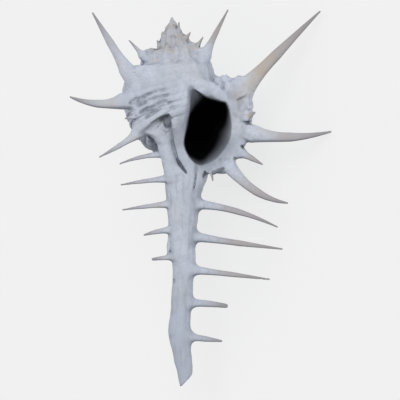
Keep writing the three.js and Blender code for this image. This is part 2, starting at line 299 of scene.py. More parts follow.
def growth_angles(x, z):
    turn = (LIP_ANGLE - np.arctan2(-z, x)) / (2 * np.pi)
    return turn - np.ceil(turn - BEYOND_LIP)


def whorls(x, y, z):
    radius = np.hypot(x, z)
    last_turn = growth_angles(x, z)
    ahead = x * AHEAD_OF_LIP[0] + z * AHEAD_OF_LIP[1]
    ahead = np.where(last_turn > -0.25, ahead, -radius)
    shape = None
    for back in range(TURNS_BACK):
        turn = last_turn - back
        width, height = WIDTH_PER_TURN ** turn, HEIGHT_PER_TURN ** turn
        across = radius / width - SECTION_RADIUS
        up = SECTION_DEPTH + y / height
        direction = np.arctan2(up, across)
        tube = np.hypot(across, up) - section_reach(direction) * relief(turn, direction)
        tube = tube * np.sqrt(width * height)
        if back == 0:
            shape = cut(tube, -ahead, LIP_FILLET)
        else:
            shape = join(shape, tube, SUTURE_FILLET * 1.25 ** (1 - back))
    return shape


turn_widths = [2 * (SECTION_RADIUS + REACH_OUT) / WIDTH_PER_TURN ** back for back in range(TURNS_BACK)]
print("width of the turns, mm:", [round(width, 1) for width in turn_widths])

# %% The whorls only where they are near
# reach from the axis, bottom and top of the whorls
WHORLS_WITHIN = (26, -51, 1)
ROOM_FOR_FILLETS = 2


def whorls_nearby(points):
    x, y, z = points.T
    reach, bottom, top = WHORLS_WITHIN
    outside = np.maximum(np.hypot(x, z) - reach, np.maximum(bottom - y, y - top))
    near = np.flatnonzero(outside < ROOM_FOR_FILLETS)
    outside[near] = whorls(*points[near].T)
    return outside


print("whorls are worked out within", WHORLS_WITHIN[0] + ROOM_FOR_FILLETS, "mm of the axis")

# %% [markdown]
# ## Pillar and canal
#
# The tube winds round a pillar, and below the last whorl the pillar runs on as the siphon canal: a long
# pipe, wide at the mouth and narrow below, broken off at a slant. It has an oval section that changes along
# its length, so a short table of measured stations and linear steps between them describe it well.

# %% Pillar and canal
# depth below the apex, radius
PILLAR = [(0, 0.2), (2, 1.1), (4, 1.9), (18, 2.4), (34, 3.2), (46, 4)]
PILLAR_FILLET = 1

# y, middle x, half width, half thickness
CANAL = [
    (-36, 1.4, 6.4, 5), (-42, 1.4, 6.8, 5.2), (-47.4, 2, 6.8, 5.2), (-50.2, 1.3, 6, 5),
    (-53.5, 0.9, 5.3, 4.6), (-58, 0.2, 4.7, 4.2), (-68, -0.3, 3.9, 3.5), (-75, -0.4, 3.4, 3.1),
    (-82, -1, 3.1, 2.9), (-86.5, -1.8, 3.1, 2.8), (-94, -2.6, 3.4, 2.8), (-99, -2.5, 3, 2.6),
    (-105, -1.7, 2.6, 2.2), (-107.6, -1.5, 2.2, 1.8), (-111.5, -1.3, 1.8, 1.5),
]
CANAL_FILLET = 1.6
CANAL_ROUNDING = 1.6
# the slanting break at the end: one point of it and the way it faces
BREAK_AT = (0.71, -107.4)
BREAK_FILLET = 0.4
BREAK_FACES = (0.676, -0.737)


def pillar(x, y, z):
    ends = np.maximum(y, -PILLAR[-1][0] - y)
    return np.maximum(np.hypot(x, z) - np.interp(-y, *zip(*PILLAR)), ends)


def canal(x, y, z):
    middle = along_table(CANAL, 1, y, CANAL_ROUNDING)
    half_width = along_table(CANAL, 2, y, CANAL_ROUNDING)
    half_thickness = along_table(CANAL, 3, y, CANAL_ROUNDING)
    pipe = (np.hypot((x - middle) / half_width, z / half_thickness) - 1) * half_thickness
    broken = (x - BREAK_AT[0]) * BREAK_FACES[0] + (y - BREAK_AT[1]) * BREAK_FACES[1]
    pipe = cut(pipe, -broken, BREAK_FILLET)
    return np.maximum(pipe, np.maximum(CANAL[-1][0] - y, y - CANAL[0][0]))


print("the canal tapers from", 2 * CANAL[1][2], "to", 2 * CANAL[-1][2], "mm wide")

# %% [markdown]
# ## Spines
#
# Each varix carries a comb of spines, long on the last whorl and worn on the spire. A spine is a curve
# through three measured points with a radius that falls quickly from its root and slowly to its tip. The
# nearest point of the curve gives the field. A generous fillet makes the web at the root, which grew as a
# folded edge of the lip.

# %% Spine tables: root, middle, tip, then the radius at each
LIP_SPINES = [
    ((20.2, -23, 8), (30.4, -13.3, 10.2), (44.2, -0.9, 11), 3.4, 1.6, 0.3),
    ((22, -36.1, 9), (33.2, -37.9, 10.8), (45.6, -36.9, 10), 2.8, 1.4, 0.3),
    ((18.6, -41.8, 7.6), (21.6, -43.6, 8.6), (24.7, -45.6, 9.2), 1.7, 0.85, 0.25),
    ((14.8, -45.6, 6), (22.5, -53.6, 8), (31.6, -57.5, 8.6), 2.2, 1.25, 0.3),
    ((5.4, -56.6, 1.6), (16.6, -59.3, 3.2), (28.2, -64.5, 4), 1.5, 0.95, 0.25),
    ((4.1, -66.3, 1.4), (16.6, -68.8, 3), (29.4, -71.2, 3.6), 1.5, 0.9, 0.25),
    ((3, -76.2, 1.2), (13.6, -78, 2.6), (25.1, -80.1, 3.2), 1.4, 0.8, 0.25),
    ((1.3, -86, 1), (6.4, -86.5, 1.6), (11.7, -87.4, 2), 1.4, 1, 0.65),
    ((0.7, -96.2, 0.8), (5, -97, 1.2), (9.8, -97.9, 1.6), 1.3, 0.9, 0.35),
    ((20.4, -31.6, 9.4), (21.8, -30.9, 9.8), (23.1, -30, 10.1), 1.1, 0.6, 0.25),
    ((9.2, -47, 4.2), (9.5, -48.3, 4.5), (9.7, -49.6, 4.8), 0.65, 0.4, 0.2),
]
LEFT_SPINES = [
    ((-14.3, -15.3, 8), (-18.7, -7.1, 9.4), (-23.6, 2.2, 10.4), 2.4, 1.2, 0.25),
    ((-16, -24.6, 9), (-23.5, -25, 11.6), (-31.5, -22.6, 13), 2.5, 1.2, 0.3),
    ((-12.8, -29.4, 8.2), (-14.2, -29.6, 8.6), (-15.5, -29.8, 9), 0.8, 0.5, 0.2),
    ((-11.6, -34.2, 7), (-17.6, -37.8, 9.4), (-23.7, -40.9, 11), 1.9, 0.8, 0.2),
    ((-5.1, -40.9, 3.6), (-11.8, -41.6, 5), (-17.8, -43.2, 6.4), 1.2, 0.62, 0.2),
    ((-4.6, -48.4, 2), (-11.2, -48.8, 3.6), (-17.8, -49.5, 5), 1.2, 0.65, 0.2),
    ((-4.4, -56, 1.8), (-11.1, -56.4, 3.4), (-17.7, -57, 4.8), 1.2, 0.65, 0.2),
    ((-4.2, -63.8, 1.6), (-7.9, -64.1, 2.6), (-11.7, -64.9, 3.4), 1.2, 0.75, 0.3),
    ((-4, -72, 1.4), (-6.8, -72.1, 2), (-9.5, -72.3, 2.6), 1, 0.65, 0.45),
]
BACK_SPINES = [
    ((-0.8, -19, -15), (-1.2, -14, -22.5), (-1.4, -8.6, -29), 2.7, 1.5, 0.3),
    ((-0.9, -31.2, -18), (-1.3, -32, -23), (-1.4, -31.6, -28.2), 2.4, 1.3, 0.4),
    ((-0.8, -36.2, -16), (-1.1, -37.6, -18.4), (-1.2, -39, -20.6), 1.5, 0.8, 0.3),
    ((-0.6, -40.2, -12), (-1, -44, -18.6), (-1.2, -46.4, -25.6), 2, 1.1, 0.25),
    ((0.1, -47, -3.6), (-0.6, -49, -15), (-1.2, -51.6, -27.6), 1.5, 0.9, 0.2),
    ((0, -56, -3.2), (-0.6, -58, -15.6), (-1.2, -60.6, -29), 1.4, 0.85, 0.25),
    ((-0.2, -65.5, -2.8), (-0.6, -67, -15), (-1, -69, -27.8), 1.4, 0.8, 0.2),
    ((-0.5, -75, -2.4), (-0.9, -76.4, -12), (-1.4, -78, -21.6), 1.3, 0.75, 0.2),
    ((-1.4, -85, -2.2), (-1.7, -86, -8), (-2, -87.2, -13.6), 1.2, 0.75, 0.3),
    ((-2.2, -94, -2), (-2.4, -94.6, -5), (-2.6, -95.2, -8), 1.1, 0.8, 0.45),
]
SPIRE_SPINES = [
    ((9.2, -12.2, 5.4), (12.9, -5.6, 7), (16.8, 1, 8.4), 2.1, 0.8, 0.2),
    ((-9.4, -11, 4.4), (-11.2, -8.8, 5.2), (-13.1, -6.5, 6), 1.4, 0.55, 0.2),
    ((0.5, -12.6, -9.8), (0.7, -9.8, -12.6), (0.8, -6.8, -15.4), 1.7, 0.9, 0.25),
    ((7.2, -8.9, 5), (8.1, -7.8, 5.8), (8.9, -6.7, 6.4), 0.9, 0.45, 0.2),
    ((-4.2, -8.6, 1.5), (-4.5, -7.7, 1.6), (-4.8, -6.8, 1.7), 0.8, 0.5, 0.2),
    ((1, -8.5, -6), (1.3, -7.3, -7.2), (1.5, -6.2, -8.2), 1, 0.6, 0.25),
    ((3.8, -6.6, 3.4), (4.6, -5.8, 4), (5.2, -5, 4.4), 0.8, 0.5, 0.2),
    ((1, -5.6, -3.5), (1.2, -4.9, -4.3), (1.4, -4.3, -4.9), 0.7, 0.4, 0.2),
    ((1.8, -4.2, 2), (1.9, -2.9, 2.3), (2, -1.8, 2.5), 0.7, 0.4, 0.2),
]
spines = LIP_SPINES + LEFT_SPINES + BACK_SPINES + SPIRE_SPINES
print(len(spines), "spines and barbs")

# %% The path of one spine, with its buried root
SPINE_STEPS = 14
THINNEST = 0.28
SPINE_BURIED = 4.5
CANAL_SPINE_BURIED = 2
CANAL_NARROW_BELOW = -70
LIP_SPINE_BURIED = np.array((-2.4, 0, -3.6))


def spine_path(row):
    root, middle, tip = (np.array(point, float) for point in row[:3])
    place = np.linspace(0, 1, SPINE_STEPS + 1)[:, None]
    path = root * (1 - place) * (1 - 2 * place) + middle * 4 * place * (1 - place)
    path = path + tip * place * (2 * place - 1)
    place = place[:, 0]
    root_radius, middle_radius, tip_radius = row[3:]
    near_root = middle_radius + (root_radius - middle_radius) * (1 - 2 * place) ** 2
    near_tip = middle_radius + (tip_radius - middle_radius) * (2 * place - 1)
    radii = np.maximum(np.where(place < 0.5, near_root, near_tip), THINNEST)
    away = (root - middle) / np.linalg.norm(root - middle)
    if root[1] < CANAL_NARROW_BELOW:
        inward = away * CANAL_SPINE_BURIED
    else:
        inward = LIP_SPINE_BURIED if row in LIP_SPINES else away * SPINE_BURIED
    return np.vstack([root + inward, path]), np.append(root_radius, radii), np.append(0, place)


spine_paths = [spine_path(row) for row in spines]
print("longest spine, mm:", round(max(np.linalg.norm(path[-1] - path[1]) for path, _, _ in spine_paths), 1))


# %% Distance from a path, and the points near it
def nearest_on_path(points, path, radii, places):
    best = np.full(len(points), np.inf)
    where = np.zeros(len(points))
    for start, end, first, last, place, next_place in zip(
            path[:-1], path[1:], radii[:-1], radii[1:], places[:-1], places[1:]):
        step = end - start
        share = np.clip((points - start) @ step / (step @ step), 0, 1)
        gap = points - start - share[:, None] * step
        distance = np.sqrt((gap * gap).sum(1)) - (first + (last - first) * share)
        closer = distance < best
        best = np.where(closer, distance, best)
        where = np.where(closer, place + (next_place - place) * share, where)
    return best, where


def near_path(points, path, room):
    return np.flatnonzero(((points > path.min(0) - room) & (points < path.max(0) + room)).all(1))


one_mm_off = spine_paths[0][0][-1:] + np.array((1, 1, 0)) / np.sqrt(2)
print("1 mm past a tip the field is", round(float(nearest_on_path(one_mm_off, *spine_paths[0])[0][0]), 2))

# %% Spines on the body, with webs at their roots
ROOM_FOR_WEBS = 3
WEB_FILLET = 0.42
WIDEST_WEB = 0.95
CANAL_WEB = 2
LEFT_CANAL_WEB = 1.2
CANAL_BELOW = -50


def web_at(root, widest):
    if root[1] < CANAL_BELOW:
        return CANAL_WEB if root[0] > 0 else LEFT_CANAL_WEB
    return min(WEB_FILLET * widest, WIDEST_WEB)


def add_spines(points, body):
    for path, radii, places in spine_paths:
        near = near_path(points, path, radii.max() + ROOM_FOR_WEBS)
        if len(near):
            spine = nearest_on_path(points[near], path, radii, places)[0]
            body[near] = join(body[near], spine, web_at(path[1], radii.max()))
    return body


print("webs, mm:", sorted({round(float(web_at(path[1], radii.max())), 2) for path, radii, _ in spine_paths}))

# %% [markdown]
# ## The inner lip and the left side of the mouth
#
# Where the lip meets the older whorl it lays down a smooth pad of glaze, the inner lip. Left of it a strong
# cord runs out into a spine, the foot of the left varix sweeps down to the canal, and between them lie two
# dark pits. Fat curves with a changing radius, like short spines, make the ridges and cut the pits.

# %% Ridges beside the mouth: points with a radius each, then the fillet
INNER_LIP = [((2.4, -22, 9.6), 2.2), ((1, -27.5, 8.8), 3.2), ((0.3, -34, 6.8), 2.9),
             ((1.1, -40.5, 4.4), 2.7), ((3.4, -46.8, 2.8), 2.2)]
UPPER_LIP = [((3.2, -19.7, 11), 2), ((7.3, -21.1, 9.2), 2.2), ((10.8, -22.8, 7), 2.4),
             ((13.8, -24.2, 6.2), 2.4), ((16.5, -27, 6.2), 2)]
LIP_KNOB = [((12.6, -20.6, 5.4), 1.6), ((14.6, -20.9, 6.2), 2.1), ((16.2, -22, 6.8), 2)]
BASE_CORD = [((-2.7, -28.4, 11.7), 0.9), ((-5.7, -29.7, 11.3), 1.1), ((-8.2, -30.8, 10.4), 1.3),
             ((-11, -32.8, 8.9), 1.5), ((-12.3, -33.9, 7.8), 1.7)]
VARIX_FOOT = [((-11.4, -33.2, 7.6), 1.5), ((-8.2, -33.6, 7.9), 1.7), ((-6, -35, 7), 2),
              ((-4.4, -37, 6), 2.2), ((-3.7, -39.7, 4.8), 2.3), ((-2.9, -43.5, 3.6), 2.1),
              ((-2.4, -48, 2.8), 2)]
NAVEL_BANK = [((-2.6, -34, 7.2), 1.5), ((-2, -37, 5.6), 1.5), ((-1.9, -39.3, 4.6), 1.5),
              ((-1.8, -42, 3.7), 1.5)]
LIP_FILL = [((17.4, -25.6, 6.8), 1.9), ((19.8, -24.6, 8.4), 1.9), ((20.8, -26.8, 8), 1.9),
            ((21.4, -30, 8), 1.6)]
LIP_FILL_INSIDE = [((18.2, -24.4, 7.6), 1.9), ((18.8, -26.6, 7), 2), ((19.6, -29.6, 7.2), 1.8)]
SPIRE_FILL = [((6.4, -10.5, 5), 0.8), ((8.8, -10.7, 5.4), 0.8)]
APEX_TIP = [((0, 0.3, 0), 0.25), ((0, -2.8, 0), 1.35)]
CANAL_SLIVER = [((-3.9, -66, 1), 0.7), ((-4.6, -69, 1), 0.55), ((-4.85, -71.6, 1), 0.25)]
RIDGES = [(INNER_LIP, 0.8), (UPPER_LIP, 1.2), (LIP_KNOB, 0.6), (BASE_CORD, 0.6), (VARIX_FOOT, 1.2),
          (NAVEL_BANK, 0.7), (LIP_FILL, 1.2), (LIP_FILL_INSIDE, 1.2), (SPIRE_FILL, 0.6), (APEX_TIP, 0.5),
          (CANAL_SLIVER, 0.25)]
print(len(RIDGES), "ridges")

# %% Pits beside the mouth and on the canal
UPPER_PIT = [((-7, -31.8, 10.9), 0.4), ((-5.2, -31.2, 11.4), 0.9), ((-3.3, -30.4, 10.8), 1.2),
             ((-3, -32.4, 9.8), 0.7)]
LOWER_PIT = [((-8.7, -35, 5.6), 0.8), ((-7.1, -36.6, 4.6), 1.1), ((-6.3, -38.4, 2), 1)]
LIP_EDGE = [((-2.5, -29.4, 11.9), 0.3), ((-2.2, -32.6, 10.2), 0.4), ((-1.8, -37.5, 7.3), 0.4),
            ((-0.8, -42, 5.7), 0.4)]
NAVEL_SLIT = [((-0.6, -42.7, 5.2), 0.35), ((0.3, -44.1, 4.7), 0.7), ((1, -45.4, 4.9), 0.45),
              ((1.9, -47, 5), 0.2)]
CANAL_CHANNEL = [((6.6, -42, 5), 1.1), ((5.6, -45, 5.4), 0.9), ((5.2, -47, 5.4), 0.6)]
CANAL_DOT = [((-3.6, -79.1, 1.4), 0.6), ((-3.7, -79.2, 1.4), 0.6)]
CANAL_NOTCH = [((-4.8, -85.4, 0.8), 0.35), ((-4.8, -85.9, 0.8), 0.35)]
# the nick between the knob and the long spine, seen from the front
KNOB_NICK = [((17.3, -17.8, -4), 1.5), ((17.3, -17.8, 11), 1.5)]
NICK_FILLET = 0.8
PITS = [(UPPER_PIT, 1.5), (LOWER_PIT, 0.7), (LIP_EDGE, 0.35), (NAVEL_SLIT, 0.3), (CANAL_CHANNEL, 0.8),
        (CANAL_DOT, 0.25), (CANAL_NOTCH, 0.25)]
print(len(PITS), "pits")

# %% Dark gaps between the cords left of the mouth, from the varix to the inner lip
GAP_FILLET = 0.8
CORD_GAPS = [
    [((-13.6, -25.3, 10.7), 0.3), ((-11.9, -24.6, 11.1), 0.7), ((-10.6, -24.1, 11.9), 0.35),
     ((-9.6, -23.7, 12.4), 0.45), ((-7.8, -22.9, 13.3), 0.3), ((-5.3, -22.1, 14), 0.25),
     ((-2.3, -21.7, 14.7), 0.2)],
    [((-11.9, -26.4, 10.9), 0.3), ((-10, -25.6, 12.1), 0.4), ((-8.8, -25.1, 12.8), 0.3),
     ((-7.5, -24.5, 13.2), 0.35), ((-5.4, -23.9, 13.9), 0.25), ((-1.8, -23.6, 14.5), 0.2)],
    [((-11.1, -28.3, 10.9), 0.35), ((-8.7, -27.4, 12), 0.6), ((-7.7, -27, 12.7), 0.35),
     ((-6.4, -26.5, 13), 0.45), ((-4.9, -25.6, 13.5), 0.3), ((-3.1, -25.2, 13.9), 0.25)],
    [((-9.3, -29.6, 11), 0.4), ((-7.7, -28.7, 11.9), 0.55), ((-5.6, -27.8, 12.6), 0.35),
     ((-3.8, -26.9, 13.3), 0.25)],
    [((-2.2, -26, 13.5), 0.25), ((0.5, -26, 13.8), 0.2)],
    [((-1.7, -27.4, 13.2), 0.25), ((1.3, -27.1, 13.3), 0.2)],
]
PITS = PITS + [(stations, GAP_FILLET) for stations in CORD_GAPS]
print(len(PITS), "pits with the gaps between the cords")


# %% Ropes into ridges and pits
def path_and_radii(stations):
    path, radii = zip(*stations)
    return np.array(path, float), np.array(radii, float)


def rope(points, stations):
    path, radii = path_and_radii(stations)
    return nearest_on_path(points, path, radii, np.linspace(0, 1, len(path)))[0]


def near_rope(points, stations):
    path, radii = path_and_radii(stations)
    return near_path(points, path, radii.max() + ROOM_FOR_WEBS)


def add_ridges(points, body):
    for stations, fillet in RIDGES:
        near = near_rope(points, stations)
        body[near] = join(body[near], rope(points[near], stations), fillet)
    return body


def cut_pits(points, body):
    for stations, fillet in PITS:
        near = near_rope(points, stations)
        body[near] = cut(body[near], rope(points[near], stations), fillet)
    return body


print("fattest ridge, mm:", 2 * max(path_and_radii(stations)[1].max() for stations, fillet in RIDGES))

# %% [markdown]
# ## The mouth
#
# The opening is a leaning oval with a straight left side. Its outline is measured as a few points about its
# middle, joined by a smooth closed curve. Going in, the outline shrinks and drifts. The wall is steep on the
# left but slopes at the lower right and the upper left, where light still reaches it. A fat bent rope
# carries the hollow on round the pillar.

# %% The mouth's outline
MOUTH_MIDDLE = (9.2, -33.2)
MOUTH_OUTLINE = [(4.8, -22.5), (9.1, -24.6), (12.9, -26), (15.1, -27), (15.9, -31), (15.8, -35.2),
                 (14.4, -39.2), (10.9, -43.3), (6.6, -45.8), (3.5, -42.9), (1.8, -38.4), (2.8, -33.4),
                 (4.1, -27.6)]


def closed_curve(corners, steps):
    corners = np.array(corners, float)
    before, after, later = np.roll(corners, 1, 0), np.roll(corners, -1, 0), np.roll(corners, -2, 0)
    place = np.linspace(0, 1, steps, endpoint=False)[:, None, None]
    curve = 0.5 * (2 * corners + (after - before) * place
                   + (2 * before - 5 * corners + 4 * after - later) * place ** 2
                   + (3 * corners - before - 3 * after + later) * place ** 3)
    return curve.transpose(1, 0, 2).reshape(-1, 2)


mouth_curve = closed_curve(MOUTH_OUTLINE, 12) - np.array(MOUTH_MIDDLE)
mouth_angles = np.arctan2(mouth_curve[:, 1], mouth_curve[:, 0])
mouth_order = np.argsort(mouth_angles)
mouth_angles = mouth_angles[mouth_order]
mouth_reach = np.hypot(*mouth_curve.T)[mouth_order]
print("the mouth is", [round(side, 1) for side in np.ptp(mouth_curve, axis=0).tolist()], "mm wide and high")

# %% Depth below the rim, and the bank in the upper left corner
# x across the mouth and height of the rim there, then how fast it falls and rises at the ends
RIM_PLACES, RIM_HEIGHTS = (2, 9, 15), (10.5, 6.5, 7)
RIM_FALLS, RIM_FALLS_BELOW = 0.35, -37
RIM_RISES, RIM_RISES_ABOVE = 0.7, -28
# the bank: the mouth's left edge at two heights, and how far it leans in
BANK_TOP, BANK_BOTTOM = (4.9, -22.6), (3.3, -31)
BANK_LEAN = 1.5
BANK_STEEPNESS = 2


def mouth_depth(x, y, z):
    rim = np.interp(x, RIM_PLACES, RIM_HEIGHTS)
    falls = RIM_FALLS * np.clip(RIM_FALLS_BELOW - y, 0, 8)
    rises = RIM_RISES * np.clip(y - RIM_RISES_ABOVE, 0, 6) * smooth_step(10, 6, x)
    return rim - falls + rises - z


def corner_bank(x, y, depth):
    up = (y - BANK_BOTTOM[1]) / (BANK_TOP[1] - BANK_BOTTOM[1])
    edge = BANK_BOTTOM[0] + (BANK_TOP[0] - BANK_BOTTOM[0]) * up - 3 * np.clip(-up, 0, 1)
    return (edge + BANK_LEAN * depth * np.clip(up, 0, 1) ** 1.5 - x) / BANK_STEEPNESS


print("the rim is highest on the left, at", RIM_HEIGHTS[0], "mm")

# %% The hollow behind the outline
# z, scale of the outline, drift in x and y
MOUTH_SHRINKS = [(20, 1.06, 0, 0), (9, 1, 0, 0), (5, 0.98, -0.1, 0.1), (0, 0.86, -0.4, 0.8),
                 (-4, 0.72, -0.8, 1.6), (-10, 0.5, -2, 2.6)]
# angle about the middle, slope of the wall
MOUTH_SLOPES = [(-180, 0.03), (-150, 0.02), (-125, 0), (-105, 0.2), (-85, 0.4), (-65, 0.6), (-45, 0.66),
                (-25, 0.55), (5, 0.25), (35, 0), (180, 0.03)]
SLOPE_DEPTH = 7
MOUTH_FLOOR = -10
INNER_HOLLOW = [((8.4, -31.6, -4), 4.6), ((5.8, -30.4, -9), 4.8), ((0.8, -29, -10.8), 4.4),
                ((-5.8, -27.4, -9.4), 3.6), ((-9.2, -26, -6), 2.4)]
MOUTH_FILLET = 0.35


def mouth_hollow(points):
    x, y, z = points.T
    scale = along_table(MOUTH_SHRINKS, 1, z)
    across = x - MOUTH_MIDDLE[0] - along_table(MOUTH_SHRINKS, 2, z)
    along = y - MOUTH_MIDDLE[1] - along_table(MOUTH_SHRINKS, 3, z)
    angle = np.arctan2(along, across)
    slope = along_table(MOUTH_SLOPES, 1, np.degrees(angle))
    reach = np.interp(angle, mouth_angles, mouth_reach, period=2 * np.pi) * scale
    depth = np.clip(mouth_depth(x, y, z), 0, SLOPE_DEPTH)
    well = np.maximum(np.hypot(across, along) - reach + slope * depth, MOUTH_FLOOR - z)
    well = np.maximum(well, corner_bank(x, y, depth))
    return join(well, rope(points, INNER_HOLLOW), 1.5)


def cut_mouth(points, body):
    x, y, z = points.T
    near = np.flatnonzero((x > -16) & (x < 20) & (y > -48) & (y < -18) & (z > -20))
    body[near] = cut(body[near], mouth_hollow(points[near]), MOUTH_FILLET)
    return body


print("the hollow goes down to", MOUTH_FLOOR, "mm and on round the pillar")

# %% Flutes on the lip's face, along lines out of the mouth
FLUTES = 41
FLUTE_HEIGHT = 0.2


def lip_flutes(x, y, z):
    across, along = x - MOUTH_MIDDLE[0], y - MOUTH_MIDDLE[1]
    angle = np.arctan2(along, across)
    outwards = np.hypot(across, along)
    ring = smooth_step(9.5, 12.5, outwards) * smooth_step(18, 14, outwards)
    side = smooth_step(-0.75, -0.5, angle) * smooth_step(0.95, 0.7, angle) * smooth_step(2, 4, z)
    uneven = 0.6 + 0.4 * np.sin(17 * angle + 0.7 * outwards)
    return FLUTE_HEIGHT * uneven * np.cos(FLUTES * angle + 0.8 * np.sin(outwards)) * ring * side


print("flutes every", round(360 / FLUTES, 1), "degrees")

# %% [markdown]
# ## The slit of the canal
#
# The canal's front is not closed: its two edges meet in a seam. Near the mouth the seam gapes as a dark
# slit, and further down it is only a groove with one edge a little prouder. A straight saw cut would be
# thinner than the voxels of the mesh, so the slit is a narrow valley, which they can follow.

# %% Slit and seam
# y, x of the seam
SEAM = [(-43, 5.6), (-46.8, 4.95), (-52.2, 3.75), (-55, 3.2), (-64, 1.9), (-76, 1), (-86, -0.4),
        (-98, -1.2), (-108, -1)]
SLIT_DEPTH = 0.65
SLIT_WIDTH = 0.3
SLIT_OPENS, SLIT_CLOSES = (-46.2, -47), (-53.2, -51.2)
SEAM_STARTS = (-47, -50)
SEAM_GROOVE = 0.22
SEAM_WIDTH = 0.4
SEAM_STEP = 0.22


def canal_seam(x, y, z, body):
    offset = x - along_table(SEAM, 1, y)
    front = smooth_step(0.5, 2, z)
    slit = SLIT_DEPTH * np.exp(-(offset / SLIT_WIDTH) ** 2)
    slit = slit * smooth_step(*SLIT_OPENS, y) * smooth_step(*SLIT_CLOSES, y)
    groove = SEAM_GROOVE * np.exp(-(offset / SEAM_WIDTH) ** 2)
    step = SEAM_STEP * smooth_step(-0.3, 0.3, offset) * (1 - smooth_step(0.6, 3, offset))
    return body + (slit + (groove + step) * smooth_step(*SEAM_STARTS, y)) * front


print("the slit is", round(SLIT_OPENS[0] - SLIT_CLOSES[0], 1), "mm long")

# %% [markdown]
# ## The whole shell
#
# The pieces come together in the order in which they would be carved: the tube, pillar and canal first,
# then what stands on them, then what is cut away. A very low waviness, a sum of slow waves, and crumbs from
# a table of seeded random heights take the lathe-like regularity off.

# %% Slow waves
# how fast each wave runs along x, y and z, and where it starts
WAVES = [(0.31, 0.47, 0.23, 0.4), (0.83, -0.61, 0.72, 1.9), (-1.21, 0.95, 1.38, 3.1),
         (1.9, 1.7, -2.2, 0.7)]
WAVE_HEIGHT = 0.09


def waviness(x, y, z):
    total = 0
    for number, (along_x, along_y, along_z, start) in enumerate(WAVES):
        total = total + np.sin(along_x * x + along_y * y + along_z * z + start) / (1 + number)
    return WAVE_HEIGHT * total


print("waves, mm:", [round(WAVE_HEIGHT / (1 + number), 3) for number in range(len(WAVES))])

# %% Crumbs
CRUMB_SIZE = np.array((1.1, 1.5, 1.1))
CRUMB_HEIGHT = 0.05
# middle, radius, extra height of the crumbs
ROUGH_SPOTS = [((0, -4, 0), 11, 0.2), ((14.8, -19.6, 6), 4.5, 0.5), ((21, -31, 9), 6.5, 0.28),
               ((14, -45, 6), 6, 0.3), ((-13.6, -30, 7), 5, 0.2), ((-8.6, -37.4, 5), 3.4, 0.4),
               ((-5, -22, 12), 9, 0.08)]
CRUMB_CELLS = 32
crumb_table = np.random.default_rng(7).uniform(-1, 1, (CRUMB_CELLS, CRUMB_CELLS, CRUMB_CELLS))
print("crumbs", CRUMB_HEIGHT, "mm high, and higher at", len(ROUGH_SPOTS), "rough spots")


def crumbs(points):
    cell = points / CRUMB_SIZE
    corner = np.floor(cell).astype(int)
    share = cell - corner
    share = share * share * (3 - 2 * share)
    total = 0
    for step in np.ndindex(2, 2, 2):
        weight = np.where(step, share, 1 - share).prod(1)
        total = total + weight * crumb_table[tuple(((corner + step) % CRUMB_CELLS).T)]
    height = CRUMB_HEIGHT
    for middle, radius, extra in ROUGH_SPOTS:
        height = height + extra * smooth_step(radius, 0.3 * radius, np.sqrt(((points - middle) ** 2).sum(1)))
    return height * total


# %% The shell's field
def uncut_field(points):
    x, y, z = points.T
    body = join(whorls_nearby(points), pillar(x, y, z), PILLAR_FILLET)
    body = join(body, canal(x, y, z), CANAL_FILLET)
    body = canal_seam(x, y, z, add_ridges(points, body))
    body = add_spines(points, body + waviness(x, y, z) + crumbs(points)) + lip_flutes(x, y, z)
    near = near_rope(points, KNOB_NICK)
    body[near] = cut(body[near], rope(points[near], KNOB_NICK), NICK_FILLET)
    return cut_mouth(points, body)


def shell_field(points):
    return cut_pits(points, uncut_field(points))


canal_and_mouth = np.array([(-1.0, -90, 0), (9.0, -33, 0)])
print("field in the canal and in the mouth, mm:", shell_field(canal_and_mouth).round(1).tolist())

# %% [markdown]
# ## From field to mesh
#
# The field is sampled on a fine grid and OpenVDB, the volume library inside Blender, finds its zero
# surface. Sampling the whole grid would be slow, and most of it is far from the surface. So the field is
# first asked at the middle of each block of voxels, and only blocks that the surface can reach are sampled
# in full. The flat places are then thinned out, which a Decimate modifier does well on so even a mesh.

# %% Sample the field near the surface
VOXEL = 0.28
BLOCK = 8
GRID_LOW = np.array((-33.5, -112, -31))
GRID_HIGH = np.array((47.5, 4, 16))
FAR = 3.2
BLOCKS_AT_ONCE = 600

block_size = VOXEL * BLOCK
block_counts = np.ceil((GRID_HIGH - GRID_LOW) / block_size).astype(int)
block_index = np.stack(np.meshgrid(*map(np.arange, block_counts), indexing="ij"), -1).reshape(-1, 3)
block_middles = GRID_LOW + (block_index + 0.5) * block_size
block_values = shell_field(block_middles)
near_blocks = np.flatnonzero(np.abs(block_values) < FAR)
samples = np.repeat(np.repeat(np.repeat(
    (np.sign(block_values) * FAR).reshape(block_counts), BLOCK, 0), BLOCK, 1), BLOCK, 2).astype(np.float32)
voxel_steps = np.stack(np.meshgrid(*[np.arange(BLOCK)] * 3, indexing="ij"), -1).reshape(-1, 3)
for start in range(0, len(near_blocks), BLOCKS_AT_ONCE):
    corner = block_index[near_blocks[start:start + BLOCKS_AT_ONCE]] * BLOCK
    voxels = (corner[:, None, :] + voxel_steps[None]).reshape(-1, 3)
    samples[tuple(voxels.T)] = shell_field(GRID_LOW + voxels * VOXEL)
print(len(near_blocks), "of", len(block_index), "blocks sampled")

# %% Find the surface
grid = openvdb.FloatGrid(FAR)
grid.copyFromArray(samples)
grid_points, quads = grid.convertToQuads(0.0)
print(len(grid_points), "points,", 2 * len(quads), "triangles")

# %% Keep the one big piece, without loose specks in the pits
piece = np.arange(len(grid_points))
settled = False
while not settled:
    lowest = piece.copy()
    np.minimum.at(lowest, quads, piece[quads].min(1)[:, None])
    lowest = lowest[lowest]
    settled = np.array_equal(lowest, piece)
    piece = lowest
whole = piece == np.bincount(piece).argmax()
quads = (np.cumsum(whole) - 1)[quads[whole[quads[:, 0]]]]
print("dropped", np.count_nonzero(~whole), "points of", len(np.unique(piece)) - 1, "specks")

